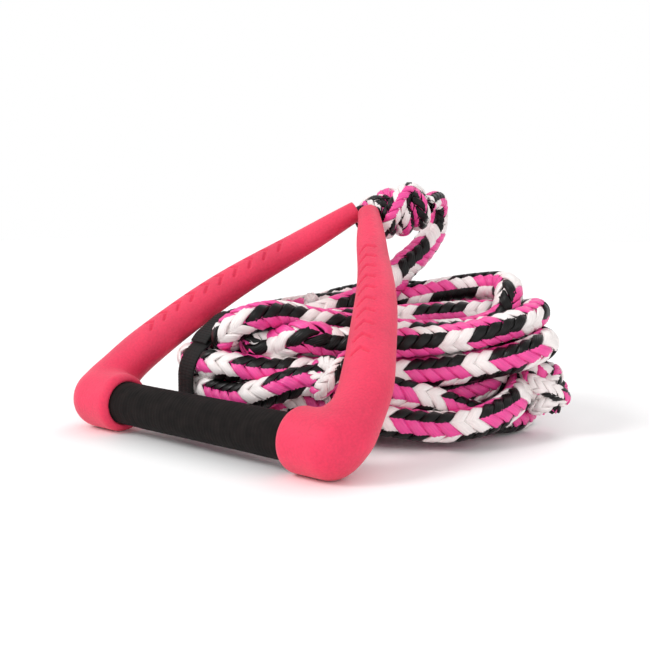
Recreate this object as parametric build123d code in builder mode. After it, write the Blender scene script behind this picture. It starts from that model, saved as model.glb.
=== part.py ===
"""Tow rope handle: a moulded foam handle leaning on its coiled, strapped, braided rope.

Millimetres, +Z up, floor at z = 0. The bar lies along X. The origin is on the floor, under the
middle of the handle's own box.
"""

import math
import os

from build123d import *

# --- handle frame ---------------------------------------------------------------------------
HUB_RADIUS = 19.0        # round foam hub at each end of the bar, which rests on the floor
LOOP_REACH = 170.0       # from the bar's axis to the end of the bridle's loop, along Y
BRIDLE = 8.0             # bridle rope, which runs through the tube and both arms
BAR_Y = (HUB_RADIUS - LOOP_REACH - BRIDLE / 2) / 2      # centres the handle's own box on Y
LEAN = 40.0              # the handle's plane above the floor, degrees
handle_plane = Plane(
    origin=(0, BAR_Y, HUB_RADIUS),
    x_dir=(1, 0, 0),
    z_dir=(0, -math.sin(math.radians(LEAN)), math.cos(math.radians(LEAN))),
)

# --- bar -------------------------------------------------------------------------------------
TUBE_OUTER = 22.0        # aluminium tube
TUBE_WALL = 2.0
TUBE_LENGTH = 160.0
SLEEVE_OUTER = 28.0      # rubber grip sleeve, bonded on the tube
SLEEVE_LENGTH = 156.0
GLUE_GAP = 0.1           # bond line between pieces that are glued
PLUG_LENGTH = 14.0       # plastic bush pressed in each end of the tube
PLUG_FLANGE = 2.0
WASHER_OUTER = 24.0
WASHER_THICK = 1.6

# --- foam arms -------------------------------------------------------------------------------
HUB_FACE = 75.0          # where the foam starts, from the middle of the bar
HUB_END = 119.0          # where the hub's domed end stops and the elbow takes over
HUB_LIP = 6.0            # rounding of the hub's edge beside the grip
HUB_DOME = 17.0          # rounding of its outer end
ELBOW = (112.0, 0.0)     # corners of the arm's middle line, in the handle's plane
BOW_LOW = (101.0, 45.0)
BOW_HIGH = (72.0, 105.0)
ARM_FILLETS = (22.0, 95.0, 150.0)
ARM_TIP = (8.0, 189.0)
ARM_SECTIONS = (         # place along the arm's line (0 to 1), width in the plane, thickness
    (0.045, 30.0, 30.0),
    (0.14, 34.0, 31.0),
    (0.22, 33.5, 27.0),
    (0.33, 32.0, 25.0),
    (0.47, 29.5, 23.5),
    (0.62, 25.5, 21.5),
    (0.78, 21.0, 19.0),
    (0.92, 18.0, 16.4),
    (1.0, 15.2, 13.6),
)

# --- bridle rope -----------------------------------------------------------------------------
BRIDLE_HOLE = 9.0
LOOP_SHOULDER = (6.5, 193.0)    # in the handle's plane, just past the tips
LOOP_TOP = (6.5, BAR_Y + LOOP_REACH, 144.5)
LOOP_FILLETS = (12.0, 6.0)

# --- braided rope ----------------------------------------------------------------------------
ROPE = 15.0              # twelve-strand hollow braid
KNOT_LUMPS = (           # centre and radius of each lump of the knot at the handle
    ((5.0, BAR_Y + 165.0, 140.5), 16.0),
    ((15.5, BAR_Y + 172.0, 143.5), 11.0),
)
RISER_ROUTE = (          # from the knot, back in a tight bight, and down into the coil
    (26.0, BAR_Y + 187.0, 146.5),
    (17.0, BAR_Y + 216.0, 155.5),
    (8.0, BAR_Y + 226.0, 131.5),
    (10.0, BAR_Y + 203.0, 112.5),
    (8.0, BAR_Y + 181.0, 101.5),
    (9.0, BAR_Y + 162.0, 84.5),
)
SWING_POINT = RISER_ROUTE[0]    # the rope bends here when the handle swings
CUP_GAP = 3.0            # room round the rope where the handle swings on it
COIL_TURN = 42.0         # the coil's long way, degrees from the bar
COIL_CENTRE = (27.0, BAR_Y + 133.0, 0.0)
coil_plane = Plane(
    origin=COIL_CENTRE,
    x_dir=(math.cos(math.radians(COIL_TURN)), math.sin(math.radians(COIL_TURN)), 0),
    z_dir=(0, 0, 1),
)
COIL_SECTIONS = (        # centre along, across, up; half length, half width; rise along, across
    (-2.0, -6.0, 0.0, 118.0, 64.0, 0.0, 0.0),
    (-2.0, -4.0, 23.0, 127.0, 77.0, 0.01, 0.02),
    (0.0, 0.0, 48.0, 126.0, 75.0, 0.02, 0.08),
    (4.0, 6.0, 71.0, 112.0, 62.0, 0.03, 0.14),
    (30.0, 18.0, 90.5, 66.0, 38.0, 0.04, 0.22),
)
COIL_EYE = (74.0, 20.0)  # half sizes of the hollow in the middle of the coil
LINE_KNOTS = {           # centre in the coil's frame, radius
    "line_knot_front": ((-32.0, -61.0, 38.0), 16.0),
    "line_knot_end": ((112.0, -12.0, 16.0), 15.0),
}
TAIL_PLACE = (-46.0, 33.0, 65.0)
TAIL_SIZE = (11.0, 20.0)  # diameter, length

# --- strap and tag ---------------------------------------------------------------------------
STRAP_PLACE = (-104.0, -15.0)   # middle of the strapped bundle, in the coil's frame
STRAP_OUTWARD = (-0.848, -0.53)
STRAP_INSIDE = ((26.0, 2.7), (26.0, 48.0), (-14.0, 78.0), (-27.0, 70.0), (-27.0, 2.7))
STRAP_FILLETS = (9.0, 25.0, 9.0, 7.0, 9.0)
STRAP_WIDTH = 22.0
STRAP_THICK = 2.0
STRAP_EASE = 0.3         # room between the strap and the squeezed rope
PATCH_THICK = 0.9
TAB_START = 13.0         # from the strap's upper front corner, along its sloping run
TAB_LENGTH = 30.0
TAB_THICK = 1.6
PATCH_INSET = 4.0        # the tab stands past its patch by this at each end
TAG_SIZE = (44.0, 30.0, 0.6)
TAG_PLACE = (36.0, 2.0, 64.0)
TAG_TILT = 35.0


def on_handle(across, along, above=0.0):
    """A point in the handle's plane as a place in the part's frame."""
    return handle_plane.from_local_coords(Vector(across, along, above))


def save(piece, name):
    """Label a finished piece and write its STEP file."""
    piece.part.label = name
    export_step(piece.part, f"parts/{name}.step")
    print(f"{name}: {piece.part.volume / 1000:.1f} cm3, {len(piece.part.solids())} solid(s)")


def bar_ring(name, outer, inner, start, end):
    """A ring around the bar's axis, from start to end along X."""
    with BuildPart() as ring:
        with BuildSketch(Plane(origin=(start, BAR_Y, HUB_RADIUS), z_dir=(1, 0, 0))):
            Circle(outer / 2)
            Circle(inner / 2, mode=Mode.SUBTRACT)
        extrude(amount=end - start)
    save(ring, name)


def arm_line():
    """The right arm's middle line, from the bar to the tip."""
    with BuildLine(handle_plane) as line:
        FilletPolyline((HUB_FACE, 0), ELBOW, BOW_LOW, BOW_HIGH, ARM_TIP, radius=list(ARM_FILLETS))
    return line.wires()[0]


def bridle_line():
    """The closed line of the bridle rope: through the bar, up both arms and round the loop."""
    side = [on_handle(*corner) for corner in (ELBOW, BOW_LOW, BOW_HIGH, LOOP_SHOULDER)]
    side.append(Vector(*LOOP_TOP))
    other = [Vector(-corner.X, corner.Y, corner.Z) for corner in reversed(side)]
    radii = ARM_FILLETS + LOOP_FILLETS
    with BuildLine() as line:
        FilletPolyline(*side, *other, radius=list(radii + radii[::-1]), close=True)
    return line.wires()[0]


def section_plane(line, place):
    """A plane square to a line, with its X across the line in the handle's plane."""
    normal = line % place
    return Plane(origin=line @ place, x_dir=normal.cross(handle_plane.z_dir), z_dir=normal)


def in_coil(along, across, up=0.0):
    """A point of the coil's frame as a place in the part's frame."""
    return coil_plane.from_local_coords(Vector(along, across, up))


def coil_direction(along, across, up=0.0):
    """A direction of the coil's frame in the part's frame."""
    return in_coil(along, across, up) - coil_plane.origin


def make_arm():
    """The right foam arm: a round hub on the bar that turns up into a tapering bowed arm."""
    line = arm_line()
    with BuildPart() as arm:
        for place, width, thick in ARM_SECTIONS:
            with BuildSketch(section_plane(line, place)):
                Ellipse(width / 2, thick / 2)
        loft()
        with BuildSketch(Plane(origin=(0, BAR_Y, HUB_RADIUS), x_dir=(1, 0, 0), z_dir=(0, -1, 0))):
            with BuildLine():
                face = Line((HUB_FACE, 0), (HUB_FACE, HUB_RADIUS - HUB_LIP))
                lip = JernArc(face @ 1, face % 1, radius=HUB_LIP, arc_size=-90)
                side = Line(lip @ 1, (HUB_END - HUB_DOME, HUB_RADIUS))
                dome = JernArc(side @ 1, side % 1, radius=HUB_DOME, arc_size=-90)
                Polyline(dome @ 1, (HUB_END, 0), face @ 0)
            make_face()
        revolve(axis=Axis((0, BAR_Y, HUB_RADIUS), (1, 0, 0)))
    return arm


os.makedirs("parts", exist_ok=True)

# --- bar: tube, sleeve, plugs and washers ------------------------------------------------------
half_tube = TUBE_LENGTH / 2
half_sleeve = SLEEVE_LENGTH / 2
tube_inner = TUBE_OUTER - 2 * TUBE_WALL
bar_ring("bar_tube", TUBE_OUTER, tube_inner, -half_tube, half_tube)
bar_ring("grip_sleeve", SLEEVE_OUTER, TUBE_OUTER + 2 * GLUE_GAP, -half_sleeve, half_sleeve)

for side, name in ((1, "right"), (-1, "left")):
    with BuildPart() as plug:
        with BuildSketch(Plane(origin=(side * (half_tube + GLUE_GAP), BAR_Y, HUB_RADIUS),
                               z_dir=(side, 0, 0))):
            Circle(TUBE_OUTER / 2)
        extrude(amount=PLUG_FLANGE)
        with BuildSketch(Plane(origin=(side * (half_tube + GLUE_GAP), BAR_Y, HUB_RADIUS),
                               z_dir=(-side, 0, 0))):
            Circle(tube_inner / 2 - GLUE_GAP)
        extrude(amount=PLUG_LENGTH)
        with BuildSketch(Plane(origin=(side * (half_tube + 2 * PLUG_FLANGE), BAR_Y, HUB_RADIUS),
                               z_dir=(-side, 0, 0))):
            Circle(BRIDLE_HOLE / 2)
        extrude(amount=PLUG_LENGTH + 3 * PLUG_FLANGE, mode=Mode.SUBTRACT)
    save(plug, f"bar_plug_{name}")

    washer_at = half_tube + PLUG_FLANGE + 2 * GLUE_GAP
    with BuildPart() as washer:
        with BuildSketch(Plane(origin=(side * washer_at, BAR_Y, HUB_RADIUS), z_dir=(side, 0, 0))):
            Circle(WASHER_OUTER / 2)
            Circle(BRIDLE_HOLE / 2, mode=Mode.SUBTRACT)
        extrude(amount=WASHER_THICK)
    save(washer, f"bar_washer_{name}")

# --- bridle rope -------------------------------------------------------------------------------
bridle_wire = bridle_line()
with BuildPart() as bridle:
    with BuildSketch(Plane(origin=bridle_wire @ 0, z_dir=bridle_wire % 0)):
        Circle(BRIDLE / 2)
    sweep(path=bridle_wire)
save(bridle, "bridle_rope")
straight = math.pi * BRIDLE ** 2 / 4 * bridle_wire.length
print(f"bridle length {bridle_wire.length:.0f}, volume ratio {bridle.part.volume / straight:.3f}")

with BuildPart() as bridle_hole:
    with BuildSketch(Plane(origin=bridle_wire @ 0, z_dir=bridle_wire % 0)):
        Circle(BRIDLE_HOLE / 2)
    sweep(path=bridle_wire)

# --- foam arms ---------------------------------------------------------------------------------
with BuildPart() as arm_right:
    add(make_arm().part)
    with BuildSketch(Plane(origin=(HUB_FACE - 1, BAR_Y, HUB_RADIUS), z_dir=(1, 0, 0))):
        Circle(SLEEVE_OUTER / 2 + GLUE_GAP)
    extrude(amount=half_sleeve - HUB_FACE + 1 + GLUE_GAP, mode=Mode.SUBTRACT)
    with BuildSketch(Plane(origin=(HUB_FACE - 1, BAR_Y, HUB_RADIUS), z_dir=(1, 0, 0))):
        Circle(WASHER_OUTER / 2 + GLUE_GAP)
    extrude(amount=washer_at + WASHER_THICK + GLUE_GAP - HUB_FACE + 1, mode=Mode.SUBTRACT)
    add(bridle_hole.part, mode=Mode.SUBTRACT)
save(arm_right, "arm_right")

with BuildPart() as arm_left:
    add(mirror(arm_right.part, about=Plane.YZ))
save(arm_left, "arm_left")

# --- the knot at the handle --------------------------------------------------------------------
with BuildPart() as handle_knot:
    for centre, radius in KNOT_LUMPS:
        with Locations(centre):
            Sphere(radius)
    with Locations(SWING_POINT):
        Sphere(ROPE / 2 + CUP_GAP, mode=Mode.SUBTRACT)
    add(bridle_hole.part, mode=Mode.SUBTRACT)
save(handle_knot, "handle_knot")

# --- the riser: rope from the knot down to the coil ---------------------------------------------
route = [Vector(*point) for point in RISER_ROUTE]
runs = [end - start for start, end in zip(route, route[1:])]
turns = [math.radians(a.get_angle(b)) for a, b in zip(runs, runs[1:])]
radii = [0.45 * min(a.length, b.length) / math.tan(turn / 2)
         for a, b, turn in zip(runs, runs[1:], turns)]
print("riser radii", [round(radius, 1) for radius in radii])
with BuildLine() as riser_line:
    FilletPolyline(*route, radius=radii)
riser_wire = riser_line.wires()[0]
with BuildPart() as riser:
    with BuildSketch(Plane(origin=riser_wire @ 0, z_dir=riser_wire % 0)):
        Circle(ROPE / 2)
    sweep(path=riser_wire)
straight = math.pi * ROPE ** 2 / 4 * riser_wire.length
print(f"riser length {riser_wire.length:.0f}, volume ratio {riser.part.volume / straight:.3f}")
with BuildPart() as rope_riser:
    add(riser.part)
    with Locations(SWING_POINT):
        Sphere(ROPE / 2)
save(rope_riser, "rope_riser")

# --- the coil ------------------------------------------------------------------------------------
strap_outward = coil_direction(*STRAP_OUTWARD)
strap_plane = Plane(origin=in_coil(*STRAP_PLACE), x_dir=strap_outward,
                    z_dir=strap_outward.cross(Vector(0, 0, 1)))

with BuildSketch(strap_plane) as strap_inside:
    with BuildLine():
        FilletPolyline(*STRAP_INSIDE, radius=list(STRAP_FILLETS), close=True)
    make_face()

with BuildPart() as coil:
    for along, across, up, half_long, half_wide, rise_along, rise_across in COIL_SECTIONS:
        level = Plane(origin=in_coil(along, across, up), x_dir=coil_direction(1, 0, rise_along),
                      z_dir=coil_direction(-rise_along, -rise_across, 1))
        with BuildSketch(level):
            Ellipse(half_long, half_wide)
    loft()
    with BuildSketch(coil_plane):
        Ellipse(*COIL_EYE)
    extrude(amount=140, mode=Mode.SUBTRACT)
    with BuildSketch(strap_plane.offset(-STRAP_WIDTH / 2 - 1)):
        with Locations((8, 60)):
            Rectangle(100, 140)
        offset(strap_inside.sketch_local, amount=-STRAP_EASE, mode=Mode.SUBTRACT)
    extrude(amount=STRAP_WIDTH + 2, mode=Mode.SUBTRACT)
save(coil, "rope_coil")

# --- knots along the line, and its tail ----------------------------------------------------------
for name, (place, radius) in LINE_KNOTS.items():
    with BuildPart() as line_knot:
        with Locations(in_coil(*place)):
            Sphere(radius)
    save(line_knot, name)

tail_plane = Plane(origin=in_coil(*TAIL_PLACE), z_dir=(0, 0, 1))
with BuildPart() as rope_tail:
    with BuildSketch(tail_plane):
        Circle(TAIL_SIZE[0] / 2)
    extrude(amount=TAIL_SIZE[1])
    fillet(rope_tail.edges().sort_by(Axis.Z)[-1], radius=3)
save(rope_tail, "rope_tail")

# --- strap -----------------------------------------------------------------------------------------
with BuildPart() as bundle_strap:
    with BuildSketch(strap_plane.offset(-STRAP_WIDTH / 2)):
        offset(strap_inside.sketch_local, amount=STRAP_THICK)
        add(strap_inside.sketch_local, mode=Mode.SUBTRACT)
    extrude(amount=STRAP_WIDTH)
save(bundle_strap, "bundle_strap")


corner, far_corner = (Vector(*point) for point in STRAP_INSIDE[1:3])
run = (far_corner - corner).normalized()
slope_plane = Plane(     # X out of the strap's sloping run, Y up along it
    origin=strap_plane.from_local_coords(corner),
    x_dir=strap_plane.x_dir * run.Y - strap_plane.y_dir * run.X,
    z_dir=strap_plane.z_dir,
)


def strap_slab(start, thick, first, length, width):
    """A flat slab on the strap's sloping run: distance out, thickness, and its place along the run."""
    with BuildPart() as slab:
        with BuildSketch(slope_plane.offset(-width / 2)):
            with Locations((start + thick / 2, first + length / 2)):
                Rectangle(thick, length)
        extrude(amount=width)
        ends = slab.edges().filter_by(lambda edge: abs(edge.length - thick) < thick / 10)
        fillet(ends, radius=2)
    return slab


loop_at = STRAP_THICK + GLUE_GAP
patch_start = TAB_START + PATCH_INSET
patch_length = TAB_LENGTH - 2 * PATCH_INSET
loop_patch = strap_slab(loop_at, PATCH_THICK, patch_start, patch_length, STRAP_WIDTH - 2)
save(loop_patch, "strap_loop_patch")
hook_at = loop_at + PATCH_THICK + GLUE_GAP
hook_patch = strap_slab(hook_at, PATCH_THICK, patch_start, patch_length, STRAP_WIDTH - 2)
save(hook_patch, "strap_hook_patch")
tab_at = hook_at + PATCH_THICK + GLUE_GAP
strap_tab = strap_slab(tab_at, TAB_THICK, TAB_START, TAB_LENGTH, STRAP_WIDTH)
save(strap_tab, "strap_tab")
hinge = slope_plane.from_local_coords(Vector(tab_at + TAB_THICK / 2, TAB_START, 0))
print("tab hinge", hinge, "axis", strap_plane.z_dir)

# --- blank tag ---------------------------------------------------------------------------------------
tag_plane = Plane(origin=in_coil(*TAG_PLACE), x_dir=coil_plane.x_dir,
                  z_dir=coil_direction(0, -1, math.tan(math.radians(TAG_TILT))))
with BuildPart() as rope_tag:
    with BuildSketch(tag_plane):
        RectangleRounded(TAG_SIZE[0], TAG_SIZE[1], 3)
    extrude(amount=TAG_SIZE[2])
save(rope_tag, "rope_tag")
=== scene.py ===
"""Tow rope handle: a foam-covered handle leaning on its coiled, strapped, braided rope.

Metres, in the frame's own axes. The floor is at z = 0 and the bar lies along X.
"""

import math

import bmesh
import bpy
import numpy as np
from bpy.props import FloatProperty, FloatVectorProperty, PointerProperty
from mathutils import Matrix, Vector


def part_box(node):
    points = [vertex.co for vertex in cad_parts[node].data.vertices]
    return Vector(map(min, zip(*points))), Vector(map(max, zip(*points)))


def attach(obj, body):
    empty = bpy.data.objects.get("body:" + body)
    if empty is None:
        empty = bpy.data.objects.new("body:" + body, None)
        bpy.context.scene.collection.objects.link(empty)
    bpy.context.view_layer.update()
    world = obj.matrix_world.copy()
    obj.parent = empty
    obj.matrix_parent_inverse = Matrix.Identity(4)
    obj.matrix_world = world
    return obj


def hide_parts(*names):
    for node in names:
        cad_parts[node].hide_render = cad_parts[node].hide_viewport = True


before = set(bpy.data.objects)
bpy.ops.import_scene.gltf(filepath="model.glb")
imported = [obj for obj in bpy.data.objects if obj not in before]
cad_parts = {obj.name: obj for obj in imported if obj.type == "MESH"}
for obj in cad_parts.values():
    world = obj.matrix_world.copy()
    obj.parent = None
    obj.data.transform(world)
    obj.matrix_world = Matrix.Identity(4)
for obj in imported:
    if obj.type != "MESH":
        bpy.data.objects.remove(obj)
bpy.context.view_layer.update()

bl_info = {
    "name": "Tow Rope Handle",
    "version": (1, 0, 0),
    "blender": (4, 5, 0),
    "location": "View3D > Sidebar > Tow Rope",
    "description": "Builds a foam tow rope handle and its coiled braided rope around a packed frame",
    "category": "Object",
}

MM = 0.001

# --- places that the CAD source and this file share ---
sleeve_low, sleeve_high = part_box("grip_sleeve")
BAR_AXIS = (sleeve_low + sleeve_high) / 2  # middle of the grip
BAR_Y = BAR_AXIS.y
SLEEVE_RADIUS = (sleeve_high.z - sleeve_low.z) / 2
LEAN = math.radians(40)  # the handle's plane above the floor
PLANE_UP = np.array([0, math.cos(LEAN), math.sin(LEAN)])
PLANE_OUT = np.array([0, -math.sin(LEAN), math.cos(LEAN)])
# The arms' and the bridle's lines, in millimetres across and along the handle's plane.
ARM_CORNERS = ((75, 0), (112, 0), (101, 45), (72, 105), (8, 189))
LOOP_CORNERS = ((112, 0), (101, 45), (72, 105), (6.5, 193))
LOOP_TOP = (6.5, 170.0, 144.5)  # from the bar's line, so Y counts from BAR_Y

RISER_ROUTE = (  # from the handle's knot, back in a tight bight, down; also from the bar's line
    (26, 187, 146.5),
    (17, 216, 155.5),
    (8, 226, 131.5),
    (10, 203, 112.5),
    (8, 181, 101.5),
    (9, 162, 84.5),
)
KNOT_LUMPS = ((5, 165, 140.5), (15.5, 172, 143.5))

COIL_TURN = math.radians(42)
COIL_CENTRE = np.array([27 * MM, BAR_Y + 133 * MM, 0])
COIL_ALONG = np.array([math.cos(COIL_TURN), math.sin(COIL_TURN), 0])
COIL_ACROSS = np.array([-math.sin(COIL_TURN), math.cos(COIL_TURN), 0])
UP = np.array([0, 0, 1.0])
MIRROR = np.array([-1, 1, 1])  # the handle's left is its right, mirrored

STRAP_PLACE = (-104, -15)
STRAP_OUTWARD = (-0.848, -0.53)
STRAP_INSIDE = ((26, 2.7), (26, 48), (-14, 78), (-27, 70), (-27, 2.7))
STRAP_FILLETS = (9, 25, 9, 7, 9)

# Each turn of the coil: how far it reaches left, front, right and back of the coil's middle,
# then its heights at the stations.
STATIONS = (180, 235, 275, 310, 360, 400, 450, 495)  # degrees: left, three in front, right, back
TURNS = (
    (95, 50, 116, 30, 56, 54, 53, 60, 77, 82, 78, 56),
    (122, 20, 103, 44, 54, 62, 57, 60, 86, 92, 84, 62),
    (126, 60, 112, 60, 42, 41, 37, 43, 50, 76, 88, 70),
    (116, 70, 99, 70, 28, 33, 30, 9, 10, 12, 14, 14),
    (108, 66, 97, 60, 12, 10, 14, 30, 36, 38, 32, 22),
    (98, 75, 101, 50, 14, 24, 26, 12, 20, 34, 50, 38),
    (86, 48, 94, 46, 28, 14, 12, 22, 14, 12, 12, 20),
    (80, 34, 84, 38, 36, 32, 36, 38, 34, 28, 32, 42),
    (104, 44, 110, 48, 46, 48, 48, 54, 56, 60, 58, 50),
)
ENTRY = ((-8, 25, 76), (-38, 21, 68), (-66, 14, 61))  # from the riser to the first turn
LEAVING = ((101, -22, 40), (101, -27, 31), (99, -30, 22), (96, -31, 15))  # last turn to its knot
END_KNOT_ROOM = 14 * MM  # the line's width at its end while it settles, less than its knot's
POINTS_PER_TURN = 56
FIRST_ANGLE, LAST_ANGLE = 165, 335
FULL_ENDS, FULL_SIDES = 0.8, 0.72  # powers that fill out the turns' loop; 1 is an ellipse
WANDER = ((2.5, 1.37, 0), (2.5, 2.3, 40), (2.0, 3.1, 0))  # up, along, across: mm, waves, start


def hub_place(x, y, z):
    """A place given in millimetres from the bar's line as a point of the frame."""
    return np.array([x * MM, BAR_Y + y * MM, z * MM])


def handle_place(across, along, out=0.0):
    """A point of the handle's plane, in millimetres from the middle of the grip."""
    return (np.array(BAR_AXIS) + across * MM * np.array([1.0, 0, 0])
            + along * MM * PLANE_UP + out * MM * PLANE_OUT)


def coil_place(along, across, up):
    """A point in millimetres in the coil's own directions."""
    return COIL_CENTRE + along * MM * COIL_ALONG + across * MM * COIL_ACROSS + up * MM * UP


# --- small tools ---
def linear(code):
    """An sRGB hex colour as linear red, green, blue and alpha."""
    parts = [int(code[i:i + 2], 16) / 255 for i in (1, 3, 5)]
    return [c / 12.92 if c <= 0.04045 else ((c + 0.055) / 1.055) ** 2.4 for c in parts] + [1.0]


def put(tree, kind, inputs=(), **settings):
    """Adds one node with its settings, and fills or links its inputs."""
    made = tree.nodes.new("ShaderNode" + kind)
    for name, value in settings.items():
        setattr(made, name, value)
    for name, value in dict(inputs).items():
        if isinstance(value, bpy.types.NodeSocket):
            tree.links.new(value, made.inputs[name])
        else:
            made.inputs[name].default_value = value
    return made


def finish_named(name, **sockets):
    """A new material with one principled shader, and its node tree and shader."""
    finish = bpy.data.materials.new(name)
    finish.use_nodes = True
    tree = finish.node_tree
    shader = tree.nodes["Principled BSDF"]
    for socket, value in sockets.items():
        shader.inputs[socket.replace("_", " ")].default_value = value
    return finish, tree, shader


def noise(tree, vector, size, detail, **more):
    """The factor of a noise whose cells have the given size, in the vector's units."""
    return put(tree, "TexNoise", {"Vector": vector, "Scale": 1 / size, "Detail": detail,
                                  **more}).outputs["Fac"]


def coloured(tree, shader, factor, low, high, colour, share):
    """Runs a shader's colour from a share of its light, where factor is low, up to all of it."""
    ramp = put(tree, "ValToRGB", {"Fac": factor})
    for stop, place, light in zip(ramp.color_ramp.elements, (low, high), (share, 1.0)):
        stop.position = place
        stop.color = [*(light * part for part in colour[:3]), 1.0]
    tree.links.new(ramp.outputs["Color"], shader.inputs["Base Color"])


def bumped(tree, shader, height, strength, distance):
    """Roughens a shader's surface by a height."""
    bump = put(tree, "Bump", {"Height": height, "Strength": strength, "Distance": distance})
    tree.links.new(bump.outputs["Normal"], shader.inputs["Normal"])


def refinish(node, finish):
    """Gives a CAD node's mesh one finish."""
    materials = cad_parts[node].data.materials
    materials.clear()
    materials.append(finish)


def seat(piece, body, slot, *nodes):
    """Puts a piece on a body and hides the CAD nodes that it stands for; the slot is not used."""
    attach(piece, body)
    if nodes:
        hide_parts(*nodes)


def seat_rope(pieces, body, *nodes):
    """Seats the three colours of a rope; the first of them stands for the CAD nodes."""
    for number, (colour, piece) in enumerate(pieces.items()):
        seat(piece, body, "rope_" + colour, *(nodes if number == 0 else ()))


def unit(way):
    """A direction with length one."""
    return way / np.linalg.norm(way)


def units(ways):
    """Rows of directions, each with length one."""
    return ways / np.linalg.norm(ways, axis=1, keepdims=True)


def around(angle, side, other):
    """The directions at angles from one side way towards another."""
    angle = np.asarray(angle)[..., None]
    return np.cos(angle) * side + np.sin(angle) * other


def run_of(points):
    """The length of a line up to each of its points."""
    return np.r_[0, np.cumsum(np.linalg.norm(np.diff(points, axis=0), axis=1))]


def at_run(even, run, points):
    """The places on a line at other lengths along it."""
    return np.stack([np.interp(even, run, column) for column in points.T], axis=1)


def linked(name, data):
    """An object of the scene with the given data."""
    made = bpy.data.objects.new(name, data)
    bpy.context.scene.collection.objects.link(made)
    return made


def read(items, field, width, kind=np.float32):
    """One field of all vertices, edges or faces of a mesh, as rows of the given width."""
    values = np.empty(len(items) * width, kind)
    items.foreach_get(field, values)
    return values.reshape(-1, width)


def mesh_piece(name, points, faces, finish, uv=None):
    """A smooth-shaded mesh object from arrays of points and faces, with one finish."""
    points = np.asarray(points, np.float32)
    faces = np.asarray(faces, np.int32)
    sides = faces.shape[1]
    mesh = bpy.data.meshes.new(name)
    mesh.vertices.add(len(points))
    mesh.vertices.foreach_set("co", points.ravel())
    mesh.loops.add(faces.size)
    mesh.loops.foreach_set("vertex_index", faces.ravel())
    mesh.polygons.add(len(faces))
    mesh.polygons.foreach_set("loop_start", np.arange(0, faces.size, sides, dtype=np.int32))
    mesh.update(calc_edges=True)
    mesh.validate()
    mesh.polygons.foreach_set("use_smooth", np.ones(len(mesh.polygons), bool))
    if uv is not None:
        layer = mesh.uv_layers.new(name="UVMap")
        layer.data.foreach_set("uv", np.asarray(uv, np.float32)[faces.ravel()].ravel())
    mesh.materials.append(finish)
    return linked(name, mesh)


def tube_faces(rings, sides, closed=False):
    """Quads that join rings of points, each with the same number of sides."""
    ring = np.arange(rings if closed else rings - 1)[:, None]
    side = np.arange(sides)[None, :]
    after = (ring + 1) % rings
    turn = (side + 1) % sides
    quads = np.stack([ring * sides + side, ring * sides + turn,
                      after * sides + turn, after * sides + side], axis=-1)
    return quads.reshape(-1, 4)


SAME_PLACE = 1e-7  # metres; points closer than this count as one


def read_line(name, points, step, closed=False):
    """Even points along the NURBS line that the control points make."""
    curve = bpy.data.curves.new(name, "CURVE")
    curve.dimensions = "3D"
    curve.resolution_u = 8
    spline = curve.splines.new("NURBS")
    spline.points.add(len(points) - 1)
    spline.points.foreach_set("co", np.c_[points, np.ones(len(points))].ravel())
    spline.order_u = 3
    spline.use_endpoint_u = not closed
    spline.use_cyclic_u = closed
    line = linked(name, curve)
    mesh = bpy.data.meshes.new_from_object(line)
    place = read(mesh.vertices, "co", 3).astype(float)
    bpy.data.objects.remove(line)
    bpy.data.curves.remove(curve)
    bpy.data.meshes.remove(mesh)
    if closed:
        place = np.vstack([place, place[:1]])
    run = run_of(place)
    keep = np.r_[True, np.diff(run) > SAME_PLACE]
    run, place = run[keep], place[keep]
    return at_run(np.linspace(0, run[-1], max(3, int(run[-1] / step))), run, place)


def side_ways(points, closed=False):
    """Two directions across a line at each point, which turn as little as they can along it."""
    if closed:
        ahead = np.roll(points[:-1], -1, axis=0) - np.roll(points[:-1], 1, axis=0)
        tangents = np.vstack([ahead, ahead[:1]])
    else:
        tangents = np.gradient(points, axis=0)
    tangents = units(tangents)
    sides = np.empty_like(points)
    start = np.cross(tangents[0], UP)
    if np.linalg.norm(start) < 0.1:      # the line starts almost upright
        start = np.cross(tangents[0], [1.0, 0, 0])
    sides[0] = unit(start)
    for i in range(1, len(points)):
        sides[i] = unit(sides[i - 1] - tangents[i] * (sides[i - 1] @ tangents[i]))
    others = np.cross(tangents, sides)
    if closed:       # spreads the twist that is left where the line meets itself
        angle = math.atan2(sides[-1] @ others[0], sides[-1] @ sides[0])
        turn = -angle * np.linspace(0, 1, len(points))
        sides, others = around(turn, sides, others), around(turn, others, -sides)
    return sides, others


# --- braided rope ---
BRAID_LAY = 2.7  # length of one strand's turn, in rope diameters
STRANDS_EACH_WAY = 6
STRAND_WIDE = 0.178  # half width and half thickness of a flattened strand, in rope diameters
STRAND_THICK = 0.062
STRAND_MIDDLE = 0.378  # middle radius of the strands, and how far they weave in and out
STRAND_WEAVE = 0.05
STRAND_SIDES = 6
STRAND_SQUARE = 0.6  # power that squares a strand's section
WEAVE_SQUARE = 1.6  # how long a strand stays over or under, as an overdriven wave
STRAND_SHIFT = 37.0  # millimetres between the hair lines of one strand and the next
# A dark tube in the hollow braid, painted shade for its shaded inside: radius in rope widths, its
# sides, and the step between the line's points that it takes.
SHADE_CORE_RADIUS, SHADE_CORE_SIDES, SHADE_CORE_EVERY = 0.31, 10, 3


def colour_share(count):
    """Which strands of each way are pink, black or white, with `count` of pink and of black."""
    some, rest = tuple(range(count)), tuple(range(count, STRANDS_EACH_WAY))
    return {"pink": (some, ()), "black": ((), some), "white": (rest, rest)}


LINE_COLOURS, KNOT_COLOURS, TAIL_COLOURS = colour_share(4), colour_share(2), colour_share(1)


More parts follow.
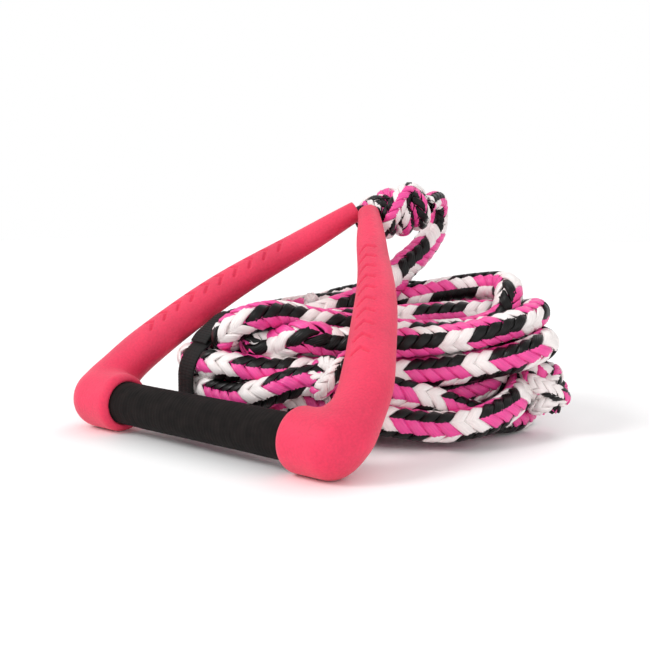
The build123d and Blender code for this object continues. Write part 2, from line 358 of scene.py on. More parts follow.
def braid_strands(points, widths, colours, closed=False):
    """The flattened strands of one colour of a twelve-strand braid: points, faces and UV.

    U runs across a strand from 0 to 1, and V along the rope in millimetres.
    """
    sides, others = side_ways(points, closed)
    run = run_of(points)
    phase = np.r_[0, np.cumsum(np.diff(run) / (BRAID_LAY * (widths[1:] + widths[:-1]) / 2))]
    if closed:
        phase *= round(phase[-1]) / phase[-1]
    corner = np.linspace(0, 2 * math.pi, STRAND_SIDES, endpoint=False)
    across = np.sign(np.cos(corner)) * np.abs(np.cos(corner)) ** STRAND_SQUARE
    out = np.sign(np.sin(corner)) * np.abs(np.sin(corner)) ** STRAND_SQUARE
    all_points, all_faces, all_uv, count = [], [], [], 0
    for way, members in zip((1, -1), colours):
        for member in members:
            angle = (way * 2 * math.pi * phase
                     + 2 * math.pi * (member + 0.5 * (way < 0)) / STRANDS_EACH_WAY)
            weave = np.cos(STRANDS_EACH_WAY / 2 * angle - math.pi / 4)
            weave = np.clip(WEAVE_SQUARE * weave, -1, 1) * way
            radius = widths * (STRAND_MIDDLE + STRAND_WEAVE * weave)
            out_way = around(angle, sides, others)
            middle = points + out_way * radius[:, None]
            wide = units(np.cross(out_way, units(np.gradient(middle, axis=0))))
            ring = (middle[:, None]
                    + wide[:, None] * (across[None, :, None] * (STRAND_WIDE * widths)[:, None, None])
                    + out_way[:, None] * (out[None, :, None] * (STRAND_THICK * widths)[:, None, None]))
            uv = np.stack(np.broadcast_arrays((across * 0.5 + 0.5)[None, :],
                                              (run / MM)[:, None] + STRAND_SHIFT * member), axis=-1)
            all_points.append(ring.reshape(-1, 3))
            all_uv.append(uv.reshape(-1, 2))
            all_faces.append(tube_faces(len(points), STRAND_SIDES) + count)
            count += len(points) * STRAND_SIDES
    return np.vstack(all_points), np.vstack(all_faces), np.vstack(all_uv)


def painted_shade_core(points, widths):
    """A dark tube inside the hollow braid, painted shade that stands for the braid's shaded inside and
    closes the gaps between its strands.
    """
    side, other = side_ways(points)
    turn = np.linspace(0, 2 * math.pi, SHADE_CORE_SIDES, endpoint=False)
    ring = (points[:, None] + around(turn, side[:, None], other[:, None])
            * (widths * SHADE_CORE_RADIUS)[:, None, None])
    return ring.reshape(-1, 3), tube_faces(len(points), SHADE_CORE_SIDES)


def braided_rope(name, points, widths, finishes, colours=LINE_COLOURS):
    """One braided rope as a piece for each colour of its strands; the black piece also holds the dark
    tube of painted shade inside the braid.
    """
    pieces = {}
    for colour, members in colours.items():
        place, faces, uv = braid_strands(points, widths, members)
        # The dark tube goes in with the black: painted shade for the hollow braid's shaded inside.
        if colour == "black":
            shade_core, shade_core_faces = painted_shade_core(points[::SHADE_CORE_EVERY], widths[::SHADE_CORE_EVERY])
            faces = np.vstack([faces, shade_core_faces + len(place)])
            place = np.vstack([place, shade_core])
            uv = np.vstack([uv, np.zeros((len(shade_core), 2))])
        pieces[colour] = mesh_piece(f"{name}_{colour}", place, faces, finishes[colour], uv)
    return pieces


# --- how the coil settles ---
def strap_axes():
    """The strap's middle, the way out of the coil, and the way along the bundle."""
    place = coil_place(*STRAP_PLACE, 0)
    outward = unit(STRAP_OUTWARD[0] * COIL_ALONG + STRAP_OUTWARD[1] * COIL_ACROSS)
    return place, outward, np.cross(outward, UP)


BALL_GAP = 6  # millimetres between the balls that fill the handle
HUB_FACE = 75
ARM_RADII = ((0, 0.14, 0.3, 0.47, 0.62, 0.8, 1),  # share of the way along an arm's line
             (19, 18, 15, 13.5, 12, 10, 8))  # radius there, in millimetres


def arm_balls():
    """Balls that fill both arms and the bar, as middles and radii, for the rope to keep off."""
    line = read_line("arm_line", [handle_place(*c) for c in ARM_CORNERS], BALL_GAP * MM)
    radius = np.interp(np.linspace(0, 1, len(line)), *ARM_RADII) * MM
    bar = np.array([handle_place(x, 0) for x in range(-HUB_FACE, HUB_FACE + 1, BALL_GAP)])
    return (np.vstack([line, line * MIRROR, bar]),
            np.r_[radius, radius, np.full(len(bar), SLEEVE_RADIUS)])


def turn_places():
    """The line's given places: riser, entry, the turns by a loop, and the last run."""
    angles = np.arange(FIRST_ANGLE, 360 * len(TURNS) - 360 + LAST_ANGLE, 360 / POINTS_PER_TURN)
    stations, heights = [], []
    for number, turn in enumerate(TURNS):
        stations += [360 * number + station for station in STATIONS]
        heights += turn[4:]
    turns = []
    for angle in angles:
        left, front, right, back = (
            TURNS[min(max(int((angle - start) // 360), 0), len(TURNS) - 1)][side]
            for side, start in enumerate((90, 180, 270, 360)))
        along, across = math.cos(math.radians(angle)), math.sin(math.radians(angle))
        u = (right if along > 0 else left) * math.copysign(abs(along) ** FULL_ENDS, along)
        w = (back if across > 0 else front) * math.copysign(abs(across) ** FULL_SIDES, across)
        rise, drift, sway = (high * math.sin(math.radians(waves * angle + start))
                             for high, waves, start in WANDER)
        turns.append(coil_place(u + drift, w + sway, np.interp(angle, stations, heights) + rise))
    riser = [hub_place(*p) for p in RISER_ROUTE]
    entry = [coil_place(*p) for p in ENTRY]
    leaving = [coil_place(*p) for p in LEAVING]
    return np.array(riser + entry + turns + leaving), len(riser)


SETTLE_ROUNDS = 320
PULL, PULL_UNTIL = 0.06, 0.7  # pull to the wanted place, and the share of rounds it lasts
EVEN, UNSTRETCH, PART = 0.12, 0.25, 0.5  # share of bend, stretch and overlap taken off in a round
TINY = 1e-9  # metres; keeps a division away from zero
NEIGHBOURS = 3  # places along the line that may be closer than its width
TOUCH, STRAP_TOUCH = 0.96, 0.47  # distance from line to line, and to the strap, in widths
STRAP_REACH, STRAP_NEAR = 15 * MM, 60 * MM  # the strap holds the places this near its middle


def settle(places, held, widths):
    """Moves the coil's turns apart until they lie on each other, clear of the handle, in the strap.

    The first `held` places stay. Each round pulls places towards where they were put, evens the
    line, then parts what overlaps; the pull fades out, so the last rounds only part.
    """
    wanted = places.copy()
    gaps = np.linalg.norm(np.diff(places, axis=0), axis=1)
    balls, ball_radii = arm_balls()
    strap_middle, outward, along_bundle = strap_axes()
    corners = np.array(STRAP_INSIDE, float) * MM
    edges = np.roll(corners, -1, axis=0) - corners
    inward = units(np.stack([-edges[:, 1], edges[:, 0]], axis=1))
    index = np.arange(len(places))
    apart = np.abs(index[:, None] - index[None, :])
    touch = (widths[:, None] + widths[None, :]) / 2 * TOUCH
    far_enough = apart > NEIGHBOURS
    mobile = (index >= held)[:, None].astype(float)
    for number in range(SETTLE_ROUNDS):
        pull = PULL * max(0.0, 1 - number / (PULL_UNTIL * SETTLE_ROUNDS))
        places += mobile * pull * (wanted - places)
        middle = (places[:-2] + places[2:]) / 2
        places[1:-1] += mobile[1:-1] * EVEN * (middle - places[1:-1])
        step = np.diff(places, axis=0)
        length = np.linalg.norm(step, axis=1)
        stretch = step * ((length - gaps) / np.maximum(length, TINY) * UNSTRETCH)[:, None]
        places[:-1] += mobile[:-1] * stretch
        places[1:] -= mobile[1:] * stretch
        offset = places[:, None] - places[None, :]
        distance = np.linalg.norm(offset, axis=2) + TINY
        short = np.where(far_enough, np.maximum(touch - distance, 0), 0)
        push = (offset * (short / distance)[:, :, None]).sum(axis=1)
        crowd = np.maximum((short > 0).sum(axis=1), 1)[:, None] ** 0.5
        places += mobile * push / crowd * PART
        offset = places[:, None] - balls[None, :]
        distance = np.linalg.norm(offset, axis=2) + TINY
        short = np.maximum(ball_radii[None, :] + widths[:, None] / 2 + 1 * MM - distance, 0)
        worst = short.argmax(axis=1)
        push = offset[index, worst] * (short / distance)[index, worst][:, None]
        places += mobile * push
        from_strap = places - strap_middle
        bundle = np.abs(from_strap @ along_bundle)
        flat = np.stack([from_strap @ outward, places[:, 2]], axis=1)
        inside = (bundle < STRAP_REACH) & (np.abs(flat[:, 0]) < STRAP_NEAR)
        for corner, way in zip(corners, inward):
            depth = (flat - corner) @ way
            need = np.where(inside, np.maximum(widths * STRAP_TOUCH - depth, 0), 0)
            flat += need[:, None] * way
        moved = flat[:, 0] - from_strap @ outward
        places += mobile * moved[:, None] * outward
        places[:, 2] = np.where(index >= held, flat[:, 1], places[:, 2])
        places[:, 2] = np.maximum(places[:, 2], widths / 2)
    return places


THICK_RUN = (-2, 3, 24, 31)  # where the thick part grows and ends, in places of the first turn
RISER_SHARE = 0.9  # of the rope's width, where it is pulled tight


def line_widths(count, held, settings):
    """The rope's width at each place: slack in the coil, and thicker on the first turn's front."""
    thick_from = held + len(ENTRY)
    index = np.arange(count)
    swell = np.interp(index, [thick_from + number for number in THICK_RUN],
                      (settings.slack, settings.thick_part, settings.thick_part, settings.slack))
    tight = np.clip((held - index) / 2, 0, 1)
    return settings.rope_width * ((1 + swell) * (1 - tight) + RISER_SHARE * tight)


# --- knots ---
KNOT_STEP = 1.2 * MM
KNOT_TILT = 0.4  # slant of the wraps, in their radius
WRAP_PLACES = 10  # control points in each wrap
CORE_IN, CORE_OUT, CORE_DIP = 0.35, 0.3, 0.25  # the core's bends, in its length and radius
WRAP_START, WRAP_RUN = 0.04, 0.9  # where the wraps lie, as shares of the core
LAST_CROSSING = ((0.75, 1.35), (0.5, 1.6), (0.25, 1.45), (0.1, 0.9))  # along, and out in radii
CROSSING_TURN = 0.55  # how far round the last crossing slants


def wrap_line(start, end, radius, wraps, first_angle):
    """A knot's line: in along its middle from end to start, then wraps back over itself."""
    long = np.linalg.norm(end - start)
    axis = (end - start) / long
    side = unit(np.cross(axis, UP))
    other = np.cross(axis, side)

    def round_core(share, lift, out, angle):
        return start + axis * (long * share + lift) + out * radius * around(angle, side, other)

    places = [end, end - axis * long * CORE_IN, start + axis * long * CORE_OUT,
              start - axis * radius * CORE_DIP]
    steps = int(wraps * WRAP_PLACES)
    for share in np.arange(steps + 1) / steps:
        angle = first_angle + share * wraps * 2 * math.pi
        grow = min(1.0, 0.45 + 1.6 * share, 0.7 + 1.2 * (1 - share))  # smaller at both ends
        tilt = KNOT_TILT * radius * math.cos(angle)
        places.append(round_core(WRAP_START + WRAP_RUN * share, tilt, grow, angle))
    for share, out in LAST_CROSSING:
        angle = first_angle + (wraps + CROSSING_TURN * (1 - share)) * 2 * math.pi
        places.append(round_core(share, 0, out, angle))
    return np.array(places)


def tied_knot(name, start, end, radius, wraps, width, finishes, colours=LINE_COLOURS, first=0.0):
    """A wrapped knot in braided rope, as a piece for each colour."""
    points = read_line(name + "_line", wrap_line(start, end, radius, wraps, first), KNOT_STEP)
    return braided_rope(name, points, np.full(len(points), width), finishes, colours)


# --- foam arms ---
VOXEL = 0.75 * MM
BLEND_PLACE, BLEND_FROM, BLEND_TO = (103, 16), 20 * MM, 34 * MM  # where hub and arm run together
BLEND_ROUNDS = 90
MARK_FIRST, MARK_STEP, MARK_COUNT = 0.36, 11.5 * MM, 10  # pressed chevrons: place on the arm
MARK_HIGH, MARK_SLANT, MARK_STROKE, MARK_DEPTH = 5.2 * MM, 0.75, 1.5 * MM, 1.4 * MM
MARK_FLAT = 0.35  # flat share of a stroke's width; the rest slopes
MARK_FACING, MARK_FADE = 0.25, 0.3  # how far the skin must face out of the handle's plane
SWELL_PLACE, SWELL_HIGH, SWELL_WIDE = (119, 6), 5.5 * MM, 14 * MM  # the elbow's full outer side
TIP_REACH, LEFT_TIP_MORE = 2.4 * MM, 3.0 * MM  # the tips are squeezed out against the knot
LEFT_BOW, RIGHT_BOW = 3.0 * MM, -4.0 * MM  # the arms have taken a set, each to its left
ARM_STEP, TIP_POINTS, TIP_RUN = 1.5 * MM, 11, 14 * MM
SKIN_WEIGHT, SKIN_ROUNDS, SWELL_ROUNDS = 0.8, 6, 25  # how much the skin is evened out
SOCKET_RADIUS, SOCKET_END, FACE_END = 15 * MM, 95 * MM, 82 * MM  # the hub's hole and face stay
SKIN_CHUNK = 4000  # points that are measured at one time


def even_out(points, edges, weight, rounds):
    """Moves each point part of the way to the middle of its neighbours, as weight says."""
    count = np.bincount(edges.ravel(), minlength=len(points))[:, None]
    for _ in range(rounds):
        total = np.zeros_like(points)
        for axis in range(3):
            total[:, axis] = (
                np.bincount(edges[:, 0], points[edges[:, 1], axis], minlength=len(points))
                + np.bincount(edges[:, 1], points[edges[:, 0], axis], minlength=len(points)))
        points += weight[:, None] * 0.5 * (total / count - points)
    return points


def remeshed(node):
    """A CAD node's shape as an even skin of small squares: points, faces, edges and normals."""
    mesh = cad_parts[node].data.copy()
    copy = linked(node + "_skin", mesh)
    remesh = copy.modifiers.new("remesh", "REMESH")
    remesh.mode = "VOXEL"
    remesh.voxel_size = VOXEL
    skin = bpy.data.meshes.new_from_object(
        copy.evaluated_get(bpy.context.evaluated_depsgraph_get()))
    parts = (read(skin.vertices, "co", 3).astype(float), read(skin.polygons, "vertices", 4, np.int32),
             read(skin.edges, "vertices", 2, np.int32), read(skin.vertices, "normal", 3).astype(float))
    bpy.data.objects.remove(copy)
    bpy.data.meshes.remove(mesh)
    bpy.data.meshes.remove(skin)
    return parts


def along_arm(points, line):
    """Each point's distance along the arm and across it in its plane, and the arm's length."""
    nearest = np.empty(len(points), int)
    for first in range(0, len(points), SKIN_CHUNK):
        part = slice(first, first + SKIN_CHUNK)
        nearest[part] = ((points[part, None] - line[None, :]) ** 2).sum(axis=2).argmin(axis=1)
    tangents = units(np.gradient(line, axis=0))
    across_way = np.cross(PLANE_OUT, tangents[nearest])
    offset = points - line[nearest]
    run = run_of(line)
    place = run[nearest] + (offset * tangents[nearest]).sum(axis=1)
    return place, (offset * across_way).sum(axis=1), run[-1]


def chevron_depth(place, across, total):
    """How deep the row of pressed chevrons is at each point, from 0 to 1."""
    depth = np.zeros(len(place))
    for number in range(MARK_COUNT):
        tip = MARK_FIRST * total + number * MARK_STEP
        ahead = place - tip + MARK_SLANT * np.abs(across)
        away = np.abs(ahead) / math.hypot(1, MARK_SLANT)
        end = np.maximum(np.abs(across) - MARK_HIGH, 0)
        slope = (np.hypot(away, end) / MARK_STROKE - MARK_FLAT) / (1 - MARK_FLAT)
        depth = np.maximum(depth, 1 - np.clip(slope, 0, 1))
    return depth * depth * (3 - 2 * depth)


# --- webbing ---
RIB_PITCH = 1.9 * MM
RIB_HIGH = 0.28 * MM
SLOPE_START, SLOPE_END = (np.array(c) * MM for c in STRAP_INSIDE[1:3])
STRAP_WIDTH, STRAP_THICK = 22 * MM, 2 * MM
TAB_START, TAB_LENGTH, TAB_THICK = 13 * MM, 30 * MM, 1.6 * MM
TAB_DROOP, DROOP_RUN = 1.8 * MM, 7 * MM
PATCH_INSET, PATCH_THICK, GLUE_GAP = 4 * MM, 0.9 * MM, 0.1 * MM
BAND_STEP, SLOPE_STEP = 0.38 * MM, 0.32 * MM
BAND_ACROSS = 13  # points across each side of a band
EDGE_ROUND, EDGE_POWER = 0.35, 8  # how a band thins towards its edges
WEAVE_WAVE = 0.06  # share of thickness that rises and falls across a band
UNDERSIDE = 0.04  # the underside's height, in the band's thickness


def rounded_outline(corners, radii, step):
    """A closed outline with rounded corners: even points, their outward ways and their run."""
    corners = np.array(corners, float)
    places, ways = [], []
    for before, corner, after, radius in zip(np.roll(corners, 1, axis=0), corners,
                                             np.roll(corners, -1, axis=0), radii):
        arrive, leave = unit(corner - before), unit(after - corner)
        turn = math.atan2(arrive[0] * leave[1] - arrive[1] * leave[0], arrive @ leave)
        out = np.array([arrive[1], -arrive[0]])
        middle = corner - arrive * radius * math.tan(turn / 2) - out * radius
        for share in np.linspace(0, 1, max(3, int(abs(turn) * radius / step))):
            way = around(turn * share, out, arrive)
            places.append(middle + way * radius)
            ways.append(way)
    places, ways = np.array(places + places[:1]), np.array(ways + ways[:1])
    run = run_of(places)
    even = np.linspace(0, run[-1], int(run[-1] / step))[:-1]
    return at_run(even, run, places), units(at_run(even, run, ways)), even


def webbing_band(name, place, way, run, thick, width, finish, closed=False, ribs=RIB_HIGH):
    """A band of webbing along an outline in the strap's own plane, ribbed across its outside."""
    middle, outward, along = strap_axes()
    share = np.linspace(-1, 1, BAND_ACROSS)
    round_edge = 1 - EDGE_ROUND * np.abs(share) ** EDGE_POWER
    rib = ribs * (np.abs(np.sin(math.pi * run / RIB_PITCH)) - 1)
    wave = 1 + WEAVE_WAVE * np.cos(8 * math.pi * share)
    outer = (thick + rib)[:, None] * (round_edge * wave)[None, :]
    inner = np.broadcast_to(thick * UNDERSIDE + thick * 0.5 * (1 - round_edge), outer.shape)
    height = np.concatenate([outer, inner[:, ::-1]], axis=1)[:, :, None]
    flat = place[:, None] + way[:, None] * height
    sideways = np.concatenate([share, share[::-1]])[:, None] * width / 2 * along
    points = middle + flat[..., :1] * outward + flat[..., 1:] * UP + sideways
    faces = tube_faces(len(run), 2 * BAND_ACROSS, closed)
    return mesh_piece(name, points.reshape(-1, 3), faces, finish)


def slope_band(name, height, thick, first, length, width, finish, ribs=0.0, droop=0.0):
    """A flat band on the strap's sloping run, with closed ends that droop towards the strap."""
    run = np.arange(0, length, SLOPE_STEP)
    ahead = unit(SLOPE_END - SLOPE_START)
    out = np.array([ahead[1], -ahead[0]])
    from_end = np.minimum(run, run[-1] - run)
    lift = height - droop * np.clip(1 - from_end / DROOP_RUN, 0, 1) ** 1.5
    place = SLOPE_START + (first + run)[:, None] * ahead + lift[:, None] * out
    way = np.broadcast_to(out, place.shape)
    piece = webbing_band(name, place, way, run, thick, width, finish, ribs=ribs)
    made = bmesh.new()
    made.from_mesh(piece.data)
    made.verts.ensure_lookup_table()
    made.faces.new(list(made.verts[:2 * BAND_ACROSS])[::-1])
    made.faces.new(list(made.verts[-2 * BAND_ACROSS:]))
    made.to_mesh(piece.data)
    made.free()
    return piece


# --- finishes ---
def spun_polypropylene(name, colour, share, gloss=0.5):
    """Polypropylene, melt-spun filament, twisted flat in each strand of the braid.

    It gives glossy hair-fine lines along each strand, with lighter crowns and darker sides.
    """
    finish, tree, shader = finish_named(name, Roughness=0.32, IOR=1.49, Specular_IOR_Level=gloss)
    uv = put(tree, "UVMap", uv_map="UVMap").outputs["UV"]
    split = put(tree, "SeparateXYZ", {"Vector": uv})
    stretch = put(tree, "Mapping", {"Vector": uv, "Scale": (9.0, 0.16, 1.0)})
    hair = noise(tree, stretch.outputs["Vector"], 1.0, 3.0, Roughness=0.6)
    coloured(tree, shader, hair, 0.32, 0.62, colour, share)
    lines = put(tree, "Math", {0: split.outputs["X"], 1: 6.0 * 2 * math.pi}, operation="MULTIPLY")
    crest = put(tree, "Math", {0: lines.outputs[0]}, operation="SINE")
    both = put(tree, "Math", {0: crest.outputs[0], 1: hair}, operation="ADD")
    bumped(tree, shader, both.outputs[0], 0.35, 0.25 * MM)
    return finish


def moulded_foam(colour):
    """EVA foam, compression moulded, with a fine closed-cell skin.

    It gives a soft matt colour with a fine grain and slightly darker, blotchy worn places.
    """
    finish, tree, shader = finish_named("moulded_eva_foam", Roughness=0.62, IOR=1.45,
                                        Subsurface_Weight=0.06, Subsurface_Scale=2 * MM,
                                        Sheen_Weight=0.12, Sheen_Roughness=0.5)
    place = put(tree, "TexCoord").outputs["Object"]
    cells = noise(tree, place, 1.5 * MM, 3.0)
    blotch = noise(tree, place, 28 * MM, 4.0)
    grain = put(tree, "Math", {0: cells, 1: 0.7, 2: blotch}, operation="MULTIPLY_ADD")
    coloured(tree, shader, grain.outputs[0], 0.55, 1.0, colour, 0.8)
    bumped(tree, shader, cells, 0.7, 0.35 * MM)
    return finish


def ground_rubber(colour):
    """Nitrile rubber foam, extruded and ground to size.

    It gives a dry black with a faint brown mottle and fine rings left by the grinding.
    """
    finish, tree, shader = finish_named("ground_nitrile_rubber", Roughness=0.85, IOR=1.5,
                                        Specular_IOR_Level=0.2)
    place = put(tree, "TexCoord").outputs["Object"]
    rings = put(tree, "Mapping", {"Vector": place,
                                  "Scale": (1 / (0.8 * MM), 1 / (9 * MM), 1 / (9 * MM))})
    ground = noise(tree, rings.outputs["Vector"], 1.0, 3.0)
    mottle = noise(tree, place, 7 * MM, 5.0)
    coloured(tree, shader, mottle, 0.35, 0.7, colour, 0.4)
    bumped(tree, shader, ground, 0.5, 0.25 * MM)
    return finish


def woven_webbing(name, colour):
    """Polypropylene webbing, woven in a ribbed plain weave.

    It gives a matt black with short threads that catch the light along each rib.
    """
    finish, tree, shader = finish_named(name, Roughness=0.7, IOR=1.49, Specular_IOR_Level=0.3)
    thread = noise(tree, put(tree, "TexCoord").outputs["Object"], 0.7 * MM, 2.0)
    coloured(tree, shader, thread, 0.35, 0.7, colour, 0.3)
    bumped(tree, shader, thread, 0.6, 0.2 * MM)
    return finish


def plain_finish(name, colour, grain, roughness, metallic=0.0, depth=0.05, ior=1.5):
    """A finish with one fine grain, in millimetres, for pieces that are small or mostly hidden."""
    finish, tree, shader = finish_named(name, Roughness=roughness, Metallic=metallic, IOR=ior)
    cells = noise(tree, put(tree, "TexCoord").outputs["Object"], grain * MM, 3.0)
    coloured(tree, shader, cells, 0.35, 0.65, colour, 0.75)
    bumped(tree, shader, cells, 0.4, depth * MM)
    return finish


def rope_finishes(colours):
    """The three colours of filament in the rope."""
    return {
        "pink": spun_polypropylene("spun_polypropylene_pink", colours.rope_pink, 0.8),
        "black": spun_polypropylene("spun_polypropylene_black", colours.rope_black, 0.4, 0.28),
        "white": spun_polypropylene("spun_polypropylene_white", colours.rope_white, 0.88),
    }


# --- settings ---
class TowRopeSizes(bpy.types.PropertyGroup):
    """Sizes of the rope."""

    rope_width: FloatProperty(name="Rope width", description="Width of the braided rope",
                              default=15 * MM, unit="LENGTH")
    thick_part: FloatProperty(name="Thick part", description="How much thicker the first turn is",
                              default=0.46, subtype="FACTOR")
    slack: FloatProperty(name="Slack", description="How much wider the loose braid lies in the coil",
                         default=0.31, subtype="FACTOR")
    rope_length: FloatProperty(name="Rope length", description="Length of rope from knot to knot",
                               default=4.66, unit="LENGTH")


def colour_setting(name, description, code):
    """A colour setting whose default is an sRGB hex colour."""
    return FloatVectorProperty(name=name, description=description, subtype="COLOR",
                               default=linear(code)[:3], min=0, max=1)


class TowRopeColours(bpy.types.PropertyGroup):
    """Colours of the foam, rubber, rope, webbing and tag."""

    foam: colour_setting("Foam", "Colour of the moulded foam arms", "#E93058")
    grip: colour_setting("Grip", "Colour of the grip's rubber", "#1A1413")
    rope_pink: colour_setting("Rope pink", "Colour of the rope's pink strands", "#FB4FA4")
    rope_black: colour_setting("Rope black", "Colour of the rope's black strands", "#0B0909")
    rope_white: colour_setting("Rope white", "Colour of the rope's white strands", "#FDF5F3")
    webbing: colour_setting("Webbing", "Colour of the strap", "#100D0C")
    tag: colour_setting("Tag", "Colour of the blank tag", "#D08A1E")


# --- steps ---
FLOOR_HALF = 3.0
WORLD_LIGHT, WORLD_SEEN = 0.74, 1.0
LIGHTS = (  # name, the place it shines from, its spread in degrees, its power
    ("key_light", (-0.6, -1.0, 1.0), 25, 1.25),
    ("fill_light", (1.0, -0.8, 0.45), 50, 0.5),
    ("back_light", (-0.2, 1.2, 1.3), 40, 0.5),
)
CAMERA_PLACE = (466.8, -413.1, 150.1)
CAMERA_TURN, CAMERA_DOWN = math.radians(41.8), math.radians(6.8)
CAMERA_LENS, SENSOR_WIDTH = 57.88, 36


class TOWROPE_OT_stage(bpy.types.Operator):
    """Makes the floor, the soft lights and the camera"""

    bl_idname = "towrope.stage"
    bl_label = "Stage"

    def execute(self, context):
        scene = context.scene
        finish = finish_named("painted_floor", Base_Color=linear("#FFFFFF"), Roughness=0.7)[0]
        floor = mesh_piece("floor", [(x * FLOOR_HALF, y * FLOOR_HALF, 0) for x, y in
                                     ((-1, -1), (1, -1), (1, 1), (-1, 1))], [(0, 1, 2, 3)], finish)
        world = bpy.data.worlds.new("studio")
        world.use_nodes = True
        tree = world.node_tree
        lit = tree.nodes["Background"]
        lit.inputs["Color"].default_value = linear("#FFFFFF")
        lit.inputs["Strength"].default_value = WORLD_LIGHT
        seen = put(tree, "Background", {"Color": linear("#FFFFFF"), "Strength": WORLD_SEEN})
        path = put(tree, "LightPath")
        both = put(tree, "MixShader", {0: path.outputs["Is Camera Ray"]})
        tree.links.new(lit.outputs["Background"], both.inputs[1])
        tree.links.new(seen.outputs["Background"], both.inputs[2])
        tree.links.new(both.outputs["Shader"], tree.nodes["World Output"].inputs["Surface"])
        scene.world = world
        for name, place, spread, power in LIGHTS:
            light = bpy.data.lights.new(name, "SUN")
            light.angle = math.radians(spread)
            light.energy = power
            lamp = linked(name, light)
            lamp.location = place
            lamp.rotation_euler = (-Vector(place)).to_track_quat("-Z", "Y").to_euler()
        lens = bpy.data.cameras.new("camera")
        lens.sensor_width = SENSOR_WIDTH
        lens.lens = CAMERA_LENS
        lens.clip_start = 10 * MM
        camera = linked("camera", lens)
        look = Vector((-math.sin(CAMERA_TURN) * math.cos(CAMERA_DOWN),
                       math.cos(CAMERA_TURN) * math.cos(CAMERA_DOWN), -math.sin(CAMERA_DOWN)))
        camera.location = hub_place(*CAMERA_PLACE)
        camera.rotation_euler = look.to_track_quat("-Z", "Y").to_euler()
        scene.camera = camera
        scene.view_settings.view_transform = "Standard"
        return {"FINISHED"}


LINE_STEP = 1.6 * MM
END_KNOT_PLACES = 3  # places at the line's end that keep room for their knot
LINE_KNOT_START, LINE_KNOT_END, LINE_KNOT_WIDTH, LINE_KNOT_WRAPS = 15 * MM, 12 * MM, 11.5 * MM, 2.6
FRONT_KNOT_OUT, FRONT_KNOT_PROUD = 12 * MM, 3 * MM  # it sits on the outermost strand
FRONT_KNOT_RADIUS, END_KNOT_RADIUS = 11.5 * MM, 10 * MM
WAY_POINTS, LAST_POINTS = 6, 9  # points to each side that give a knot's way; its last point
TAIL_WIDTH, TAIL_ROOT, TAIL_TIP = 11 * MM, 10 * MM, (1 * MM, 0, 9 * MM)
TAIL_TAPER, TAIL_LONG = 0.8, 0.22  # where the tail's melted end starts to close, and its length


class TOWROPE_OT_line(bpy.types.Operator):
    """Makes the long braided rope, from the handle's knot through its coil to its last knot"""

    bl_idname = "towrope.line"
    bl_label = "Coiled rope"

    def execute(self, context):
        sizes = context.scene.tow_rope_sizes
        places, held = turn_places()
        widths = line_widths(len(places), held, sizes)
        room = widths.copy()
        room[-END_KNOT_PLACES:] = END_KNOT_ROOM
        points = read_line("rope_line", settle(places, held, room), LINE_STEP)
        line_width = np.interp(np.linspace(0, 1, len(points)), np.linspace(0, 1, len(widths)), widths)
        finishes = rope_finishes(context.scene.tow_rope_colours)
        pieces = braided_rope("rope_line", points, line_width, finishes)
        seat_rope(pieces, "rope", "rope_riser", "rope_coil")
        going_along = [pieces["black"], pieces["white"]]
        low, high = (np.array(corner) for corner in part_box("line_knot_front"))
        outermost = (low + high) / 2 - COIL_ACROSS * FRONT_KNOT_OUT
        front = int(np.linalg.norm((points - outermost) * [1, 1, 3], axis=1).argmin())
        for node, name, at, proud, radius in (
            ("line_knot_front", "front_knot", front, FRONT_KNOT_PROUD, FRONT_KNOT_RADIUS),
            ("line_knot_end", "end_knot", len(points) - LAST_POINTS, 0, END_KNOT_RADIUS),
        ):
            way = unit(points[at + WAY_POINTS] - points[at - WAY_POINTS])
            middle = points[at] - proud * COIL_ACROSS
            knot = tied_knot(name, middle - way * LINE_KNOT_START, middle + way * LINE_KNOT_END,
                             radius, LINE_KNOT_WRAPS, LINE_KNOT_WIDTH, finishes, KNOT_COLOURS)
            seat_rope(knot, "rope", node)
            going_along += knot.values()
        low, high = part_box("rope_tail")
        foot = np.array([(low.x + high.x) / 2, (low.y + high.y) / 2, low.z])
        top = [foot[0], foot[1], high.z]
        tail_line = read_line("tail_line", [foot - [0, 0, TAIL_ROOT], foot, foot + TAIL_TIP, top],
                              KNOT_STEP)
        closing = (np.linspace(0, 1, len(tail_line)) - TAIL_TAPER) / TAIL_LONG
        tail_width = TAIL_WIDTH * np.sqrt(np.clip(1 - closing.clip(0, 1) ** 2, 0.02, 1))
        tail = braided_rope("tail", tail_line, tail_width, finishes, TAIL_COLOURS)
        seat_rope(tail, "rope", "rope_tail")
        going_along += tail.values()
        return {"FINISHED"}


